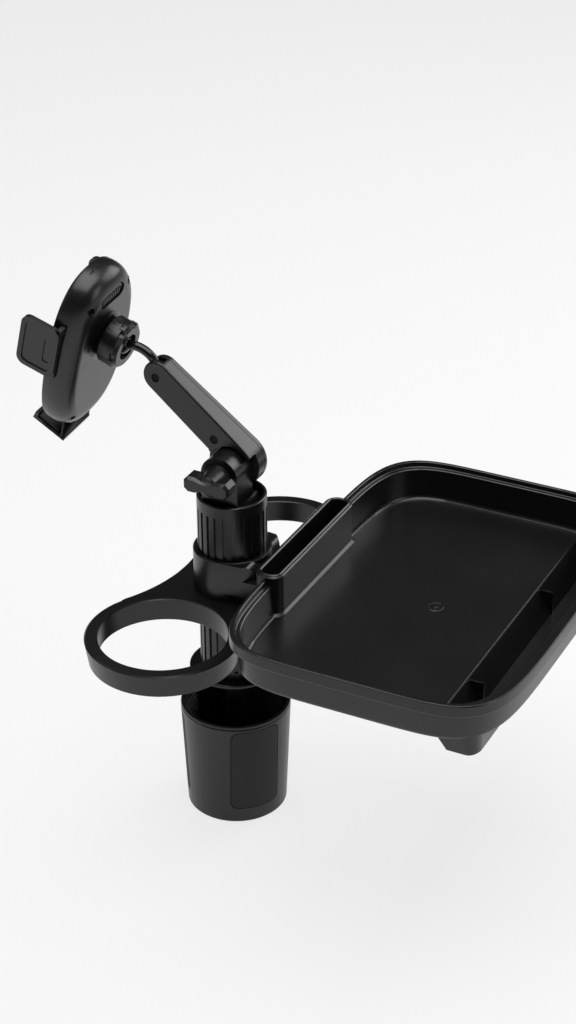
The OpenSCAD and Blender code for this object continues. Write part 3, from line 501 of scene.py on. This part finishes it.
def buildKnob():
    # a moulded wing knob: a round core between two wings with flat facets
    k = knob
    low = k["from"]
    core = turned("knobCore", k["core"], height=low, count=64)
    upper = list(k["wing"]) + [(-x, y) for x, y in reversed(k["wing"])]
    outline = [Vector(point) for point in upper + [(-x, -y) for x, y in upper]]
    wings = stackRings("knobWings", outline, [(inX, inY, 0, low + up) for inX, inY, up in k["wingSteps"]])
    carve(core, wings, "UNION")
    carve(core, addPeg(k["bore"], low - 1, low + k["boreDeep"]))
    roundEdges(core, k["edge"], 3, 24)
    core.matrix_world = Matrix.Translation((0, 0, k["axisZ"] * mm)) @ Matrix.Rotation(math.radians(90), 4, "X")
    finishPiece(core, "wingKnobMoulded", "knob", "black_abs", "wing_knob", smooth=24)


arm = {
    "axisZ": 248.5, "rise": 36.5, "hub": 17.3, "long": 70.9, "wide": 19.5, "low": -3.0, "taper": 0.0762,
    "round": 1.3, "seam": 11.8, "seamEdge": 0.25, "top": 16.0, "bolt": 3.06, "nutRoom": 6.3,
    "ear": 4.3, "earRadius": 14.1, "beamEnd": 2.0, "beamSide": 8.3, "beamBack": -6.0,
    # room for the rod: height over the near face, the eye's radius, and the neck's swing, half width and reach
    "fork": 6.2, "eyeRoom": 7.2, "neckSwing": (6, 55), "neckSide": 3.8, "neckReach": 24.0,
    # each screw's place along the beam and the depth of its well
    "screws": ((18.4, 0.4), (70.9, 4.6)), "screwRow": 6.55, "well": 2.9, "screwHole": 1.65,
}


def roundLoop(obj, width, low, high, segments=3):
    # bevels the edges that lie wholly between two heights
    pick(obj)
    bpy.ops.object.mode_set(mode="EDIT")
    bpy.ops.mesh.select_all(action="DESELECT")
    bpy.ops.object.mode_set(mode="OBJECT")
    for edge in obj.data.edges:
        edge.select = all(low * mm <= obj.data.vertices[i].co.z <= high * mm for i in edge.vertices)
    bpy.ops.object.mode_set(mode="EDIT")
    bpy.ops.mesh.select_mode(type="EDGE")
    bpy.ops.mesh.bevel(offset=width * mm, segments=segments, affect="EDGES")
    bpy.ops.mesh.select_mode(type="VERT")
    bpy.ops.object.mode_set(mode="OBJECT")


def buildArm():
    # two moulded halves with a seam between them; the outline is the hub's circle, the beam and its tip
    a = arm
    half = a["wide"] / 2
    mid = a["hub"] - half
    low = mid - half
    clear, deep, over = 40, -20, 30
    corner = math.degrees(math.atan2(low, math.sqrt(a["hub"] ** 2 - low ** 2)))
    outline = arcPoints(a["long"], mid, half, range(-90, 91, 6))
    outline += arcPoints(0, 0, a["hub"], [90 + (270 + corner) * i / 48 for i in range(49)])

    body = stackRings("armHalf", outline, [(1, 1, 0, deep), (1, 1, 0, a["seam"])])
    for vert in body.data.vertices:
        if vert.co.z < 0:
            vert.co.z = a["low"] * mm + vert.co.x * a["taper"]
    roundLoop(body, a["seamEdge"], a["seam"] - 0.1, a["seam"] + 0.1, 1)
    roundLoop(body, a["round"], deep, a["seam"] - 2)
    # room for the head's ear: only the beam reaches below it
    for farX, farY in ((a["beamBack"], clear), (a["beamEnd"], a["beamSide"]), (1.5 * clear, low)):
        carve(body, addBox((-clear, -clear, deep), (farX, farY, a["ear"])))
    carve(body, addPeg(a["earRadius"], deep, a["ear"], count=96))

    # the rod's eye turns in a round pocket, and its neck leaves through a slot, open over its whole swing
    row = a["screwRow"]
    carve(body, addPeg(a["eyeRoom"], a["fork"], over, a["long"], row, 40))
    first, last = [math.radians(angle) for angle in a["neckSwing"]]
    eye, side, reach = Vector((a["long"], row)), a["neckSide"], a["neckReach"]
    lowSide, highSide = eye + polar(first - math.pi / 2, side), eye + polar(last + math.pi / 2, side)
    fan = [lowSide, lowSide + polar(first, reach), highSide + polar(last, reach), highSide]
    carve(body, stackRings("neckSlot", fan, [(1, 1, 0, a["fork"]), (1, 1, 0, over)]))
    carve(body, addPeg(a["bolt"], deep, over, count=40))
    for x, depth in a["screws"]:
        carve(body, addPeg(a["well"], deep, depth, x, row, 40))
        carve(body, addPeg(a["screwHole"], deep, over, x, row, 40))

    cover = stackRings("armCover", outline, [(1, 1, 0, a["seam"]), (1, 1, 0, a["top"])])
    roundLoop(cover, a["round"], a["top"] - 0.1, a["top"] + 0.1)
    roundLoop(cover, a["seamEdge"], a["seam"] - 0.1, a["seam"] + 0.1, 1)
    carve(cover, addPeg(a["nutRoom"], 0, over, count=40))
    place = (Matrix.Translation((0, 0, a["axisZ"] * mm))
             @ Matrix.Rotation(math.radians(a["rise"] + 180), 4, "Y")
             @ Matrix.Rotation(math.radians(-90), 4, "X"))
    for obj, name, nodeName in ((body, "armHalfMoulded", "arm_body"), (cover, "armCoverMoulded", "arm_cover")):
        obj.matrix_world = place
        finishPiece(obj, name, "arm", "black_abs", nodeName, smooth=30)


holder = {
    "tilt": 17.5, "roll": -8.0, "ball": (-82.2, 9.0, 311.4),
    "long": 119.4, "wide": 69.9, "power": 2.6, "points": 128, "edge": 0.4,
    "back": 9.75, "thick": 20.5, "seamBack": 6.0, "middle": -13.3, "wall": 2.2, "flat": 0.76, "domePower": 2.4,
    # the dome's inside: share of the outline, height over the back and inset
    "hollow": ((0.96, 7, 1.8), (0.86, 3.4, 1.6), (0.74, 2.3, 1)),
    "clampSlot": (-18.4, 20.4), "clampSlotDeep": 3.5,
    "footSlot": 15.4, "footSlotTop": -43.3, "footSlotDeep": (6.6, 3.2),
    "screwY": 21.0, "screwZ": 44.0, "post": 4.2, "well": 2.4, "wellDeep": 6.4,
}
button = {
    "up": 45.0, "wide": 25.0, "high": 9.0, "gap": 0.5,
    # growth beyond the button's outline in x and y, and height over the holder's back
    "steps": ((1.5, 1, 6), (1.5, 1, 4.9), (0, 0, 4.8), (0, 0, 1.7),
              (-0.4, -0.4, 1.2), (-1.6, -1.6, 1.1), (-2, -2, 1.5)),
    "bars": 9, "pitch": 2.2, "lean": 28, "bar": (0.9, 2.9, 1.0),
    "barSide": 1.15, "barUp": 1.35, "barEdge": 0.22,
}


def holderMatrix():
    # stack axes to the holder's: x across, y up, z from the ball to the phone
    h = holder
    axes = Matrix(((0, 0, 1, 0), (1, 0, 0, 0), (0, 1, 0, 0), (0, 0, 0, 1)))
    return (Matrix.Translation(Vector(h["ball"]) * mm) @ Matrix.Rotation(math.radians(h["tilt"]), 4, "Y")
            @ Matrix.Rotation(math.pi, 4, "Z") @ Matrix.Rotation(math.radians(h["roll"]), 4, "X") @ axes)


def stadium(halfWide, halfHigh, arc=10):
    return roundRect(halfWide, halfHigh, halfHigh - 0.05, halfHigh - 0.05, arc)


def buildHolderBack():
    h = holder
    a, b = h["wide"] / 2, h["long"] / 2
    back = h["back"]
    seam = back + h["thick"] - h["seamBack"]
    outline = superOutline(a, b, h["power"], h["power"], h["points"])

    def ring(share, height, inset=0.0):
        return (a * share - inset, b * share - inset, 0, height)

    def dome(count, less=0.0):
        # the back bulges out from a flat middle to its full outline at the seam
        steps = [(i / count) ** 2 for i in range(count + 1)]
        shares = [h["flat"] + (1 - h["flat"]) * math.sqrt(1 - (1 - u) ** h["domePower"]) for u in steps]
        return [ring(share - less, back + (seam - back) * u) for u, share in zip(steps, shares)]

    def pegs(radius, low, high):
        places = [(sx * h["screwY"], h["middle"] + sy * h["screwZ"]) for sx in (-1, 1) for sy in (-1, 1)]
        profile = ((radius, low), (radius, high))
        return joinAll(*[shift(turned("screwPeg", profile, x, count=32), y=y) for x, y in places])

    inner = [ring(1, seam, h["wall"])] + [ring(share, back + up, inset) for share, up, inset in h["hollow"]]
    shell = shift(stackRings("holderShell", outline, dome(12) + inner), y=h["middle"])
    halfWide, halfHigh = button["wide"] / 2 + button["gap"], button["high"] / 2 + button["gap"]
    hole = stackRings("buttonHole", stadium(halfWide, halfHigh), [
        (halfWide, halfHigh, 0, back - 2), (halfWide, halfHigh, 0, back + 8)])
    carve(shell, shift(hole, y=h["middle"] + button["up"]))
    slotLow, slotHigh = h["clampSlot"]
    footLow, footHigh = [seam - depth for depth in h["footSlotDeep"]]
    carve(shell, addBox((-60, slotLow, seam - h["clampSlotDeep"]), (60, slotHigh, seam + 20)))
    carve(shell, addBox((-h["footSlot"], -120, footLow), (h["footSlot"], h["footSlotTop"], footHigh)))
    posts = pegs(h["post"], back + 1, seam)
    carve(posts, shift(stackRings("domeCore", outline, dome(8, 0.01)), y=h["middle"]), "INTERSECT")
    carve(shell, posts, "UNION")
    carve(shell, pegs(h["well"], back - 2, back + h["wellDeep"]))
    roundEdges(shell, h["edge"], 3)
    shell.matrix_world = holderMatrix()
    finishPiece(shell, "holderBackMoulded", "holder", "black_abs", "holder_back", smooth=34)


def buildButton():
    # an oval button with a zigzag of small bars for the finger
    c = button
    halfWide, halfHigh, back = c["wide"] / 2, c["high"] / 2, holder["back"]
    parts = [stackRings("buttonBody", stadium(halfWide, halfHigh, 12), [
        (halfWide + moreX, halfHigh + moreY, 0, back + up) for moreX, moreY, up in c["steps"]])]
    for i in range(c["bars"]):
        for sign in (-1, 1):
            pick()
            place = ((i - c["bars"] // 2) * c["pitch"] * mm, sign * c["barSide"] * mm, (back + c["barUp"]) * mm)
            lean = (0, 0, sign * math.radians(c["lean"]))
            bpy.ops.mesh.primitive_cube_add(size=1, location=place, rotation=lean)
            bar = bpy.context.object
            bar.scale = [side * mm for side in c["bar"]]
            bpy.ops.object.transform_apply(location=True, rotation=True, scale=True)
            roundEdges(bar, c["barEdge"], 2)
            parts.append(bar)
    whole = shift(joinAll(*parts), y=holder["middle"] + c["up"])
    whole.matrix_world = holderMatrix()
    finishPiece(whole, "releaseButtonRibbed", "button", "black_abs", "release_button")


nut = {
    "radius": 16.0, "thick": 13.4, "chamfer": (2.6, 2.4), "lobes": 6, "notch": 4.4, "notchOut": 2.6,
    "split": -0.4, "barrel": 15.6, "barrelFrom": 4.0, "bevel": 0.8, "seat": 10.5, "seatWall": 1.6, "hole": 8.8,
    "edge": 0.5,
}


def buildNut():
    # the ball's clamping nut: a smooth barrel to the holder and a lobed grip with a broad chamfer to the rod
    n = nut
    low, high, bevel = -n["thick"] / 2, n["thick"] / 2, n["bevel"]
    radius, split, barrel = n["radius"], n["split"], n["barrel"]
    inward, upward = n["chamfer"]
    grip = turned("nutGrip", (
        (radius - inward, low), (radius, low + upward),
        (radius, split - bevel), (radius - bevel, split)), count=96)
    outward = Matrix.Translation(((radius + n["notchOut"]) * mm, 0, 0))
    for i in range(n["lobes"]):
        notch = addPeg(n["notch"], low - 1, high, count=32)
        notch.data.transform(Matrix.Rotation(2 * math.pi * i / n["lobes"], 4, "Z") @ outward)
        carve(grip, notch)
    carve(grip, turned("nutBarrel", (
        (barrel, low + n["barrelFrom"]), (barrel, high - bevel), (barrel - bevel, high)), count=96), "UNION")
    carve(grip, addPeg(n["hole"], low - 1, high + 1, count=64))
    carve(grip, addPeg(n["seat"], low + n["seatWall"], high + 1, count=64))
    roundEdges(grip, n["edge"], 3, 30)
    grip.matrix_world = holderMatrix()
    finishPiece(grip, "ballNutMoulded", "nut", "black_abs", "ball_nut", smooth=30)


clampPlate = {
    "face": 39.25, "back": 21.15, "front": 48.25, "low": -18.0, "high": 20.0, "edge": 0.35,
    "border": 3.2, "fieldRound": 4.0, "sunk": 0.7, "oval": (2.6, 9.5, 2.5), "ovalBack": 6.5, "ovalSunk": 1.3,
}


def buildClamps():
    # the CAD clamp with a sunk field in its outer face, and a small upright oval near the holder
    c = clampPlate
    middle, up = (c["back"] + c["front"]) / 2, (c["low"] + c["high"]) / 2
    halfDeep = (c["front"] - c["back"]) / 2 - c["border"]
    halfHigh = (c["high"] - c["low"]) / 2 - c["border"]
    # each field: half sizes, corner radius, shift to the back and depth
    fields = ((halfDeep, halfHigh, c["fieldRound"], 0, c["sunk"]), (*c["oval"], c["ovalBack"], c["ovalSunk"]))
    toFace = Matrix.Rotation(math.radians(90), 4, "Y")
    mirrored = Matrix.Scale(-1, 4, (1, 0, 0)) @ toFace
    for nodeName, turn in (("clamp_left", mirrored), ("clamp_right", toFace)):
        plate = mergedCopy(nodeName)
        plate.data.transform(holderMatrix().inverted())
        for halfX, halfY, radius, backward, deep in fields:
            at, outline = backward - middle, roundRect(halfX, halfY, radius, radius)
            field = stackRings("clampField", outline, [
                (halfX, halfY, at, c["face"] - deep), (halfX, halfY, at, c["face"] + 3)])
            shift(field, y=up)
            field.data.transform(turn)
            pick(field)
            bpy.ops.object.mode_set(mode="EDIT")
            bpy.ops.mesh.select_all(action="SELECT")
            bpy.ops.mesh.normals_make_consistent(inside=False)
            bpy.ops.object.mode_set(mode="OBJECT")
            carve(plate, field)
        roundEdges(plate, c["edge"])
        plate.matrix_world = holderMatrix()
        finishPiece(plate, nodeName + "Moulded", bodyOf(nodeName), "black_abs", nodeName)


buildTray()
print("tray done")
buildRings()
buildKnob()
buildArm()
print("rings, knob and arm done")
buildHolderBack()
buildButton()
buildNut()
buildClamps()
print("holder done")

# each node that keeps its CAD shape and only gets moulded edges: radius in mm and finish
mouldedNodes = {
    "base_cup": (0.7, "black_abs"), "base_cap": (0.2, "black_abs"),
    "grip_pad_a": (0.9, "pad_rubber"), "grip_pad_b": (0.9, "pad_rubber"), "grip_pad_c": (0.9, "pad_rubber"),
    "cam_stem": (0.25, "black_abs"), "column_flange": (0.3, "black_abs"), "column": (0.3, "black_abs"),
    "stop_ring": (0.3, "black_abs"), "tray_arm": (0.6, "black_abs"), "head_post": (0.6, "black_abs"),
    "ball_socket": (0.2, "black_abs"), "holder_front": (0.5, "black_abs"), "holder_pad": (0.4, "pad_rubber"),
    "clamp_pad_left": (0.3, "pad_rubber"), "clamp_pad_right": (0.3, "pad_rubber"),
    "foot_bracket": (0.4, "black_abs"), "foot_pad": (0.3, "pad_rubber"), "ball_rod": (0.0, "painted_steel"),
    "stem_screw": (0.1, "screw_steel"), "flange_screws": (0.1, "screw_steel"),
    "tray_bolt": (0.15, "screw_steel"), "post_screw": (0.1, "screw_steel"), "pivot_bolt": (0.1, "screw_steel"),
    "arm_screws": (0.15, "screw_steel"), "holder_screws": (0.1, "screw_steel"),
}
for nodeName, (radius, slotName) in mouldedNodes.items():
    piece = mergedCopy(nodeName)
    if radius > 0:
        roundEdges(piece, radius)
    finishPiece(piece, nodeName + "Moulded", bodyOf(nodeName), slotName, nodeName)
print("moulded pieces done")


def buildStudio():
    s = studio
    pick()
    bpy.ops.mesh.primitive_plane_add(size=s["floorSize"], location=(0, 0, s["floorHeight"]))
    floor = bpy.context.object
    floor.name = "studioFloor"
    mat = bpy.data.materials.new("studioPaper")
    mat.use_nodes = True
    tree = mat.node_tree
    tree.nodes.clear()
    # seen directly, the paper is lifted towards white and keeps a part of its shadow;
    # glossy rays see it glow white at part strength too, a painted reflection on the object; diffuse light on
    # the object gets nothing from the glow
    paper = addNode(tree, "ShaderNodeBsdfDiffuse", (-300, 0), {"Color": linearOf(s["floorHex"])})
    white = addNode(tree, "ShaderNodeEmission", (-300, -150), {"Color": (1, 1, 1, 1), "Strength": 1.0})
    rays = addNode(tree, "ShaderNodeLightPath", (-600, 200))
    # glossy rays see part of the white glow: a painted reflection of the floor on the object
    mirrored = addNode(tree, "ShaderNodeMath", (-450, 200), {1: s["paintedReflectionGlow"]},
                       {0: rays.outputs["Is Glossy Ray"]}, operation="MULTIPLY")
    share = addNode(tree, "ShaderNodeMath", (-300, 200), {1: s["floorGlow"]},
                    {0: rays.outputs["Is Camera Ray"], 2: mirrored.outputs[0]}, operation="MULTIPLY_ADD")
    mix = addNode(tree, "ShaderNodeMixShader", (0, 0),
                  links={0: share.outputs[0], 1: paper.outputs[0], 2: white.outputs[0]})
    addNode(tree, "ShaderNodeOutputMaterial", (300, 0), links={"Surface": mix.outputs[0]})
    floor.data.materials.append(mat)

    world = bpy.data.worlds.new("studioWorld")
    bpy.context.scene.world = world
    world.use_nodes = True
    tree = world.node_tree
    tree.nodes.clear()
    rays = addNode(tree, "ShaderNodeLightPath", (-600, 200))
    pureWhite = (1, 1, 1, 1)
    soft = addNode(tree, "ShaderNodeBackground", (-300, 0), {"Color": pureWhite, "Strength": s["worldGrey"]})
    seen = addNode(tree, "ShaderNodeBackground", (-300, -200), {"Color": pureWhite, "Strength": s["skyShown"]})
    mix = addNode(tree, "ShaderNodeMixShader", (0, 0),
                  links={0: rays.outputs["Is Camera Ray"], 1: soft.outputs[0], 2: seen.outputs[0]})
    addNode(tree, "ShaderNodeOutputWorld", (300, 0), links={"Surface": mix.outputs[0]})

    for name, (place, aim, size, watts) in s["panels"].items():
        lamp = bpy.data.lights.new(name, "AREA")
        lamp.shape = "SQUARE"
        lamp.size = size
        lamp.energy = watts
        obj = bpy.data.objects.new(name, lamp)
        bpy.context.scene.collection.objects.link(obj)
        obj.location = place
        aimed = Vector(aim) - Vector(place)
        obj.rotation_euler = aimed.to_track_quat("-Z", "Y").to_euler()


def addCamera():
    cam = bpy.data.cameras.new("photoCamera")
    cam.sensor_width = view["sensor"]
    cam.lens = view["lens"]
    cam.shift_x = view["shiftX"]
    cam.clip_start, cam.clip_end = view["clip"]
    obj = bpy.data.objects.new("photoCamera", cam)
    bpy.context.scene.collection.objects.link(obj)
    obj.location = view["place"]
    obj.rotation_euler = [math.radians(a) for a in view["turn"]]
    bpy.context.scene.camera = obj


buildStudio()
addCamera()
bpy.context.scene.view_settings.view_transform = "Standard"
print("studio and camera done")
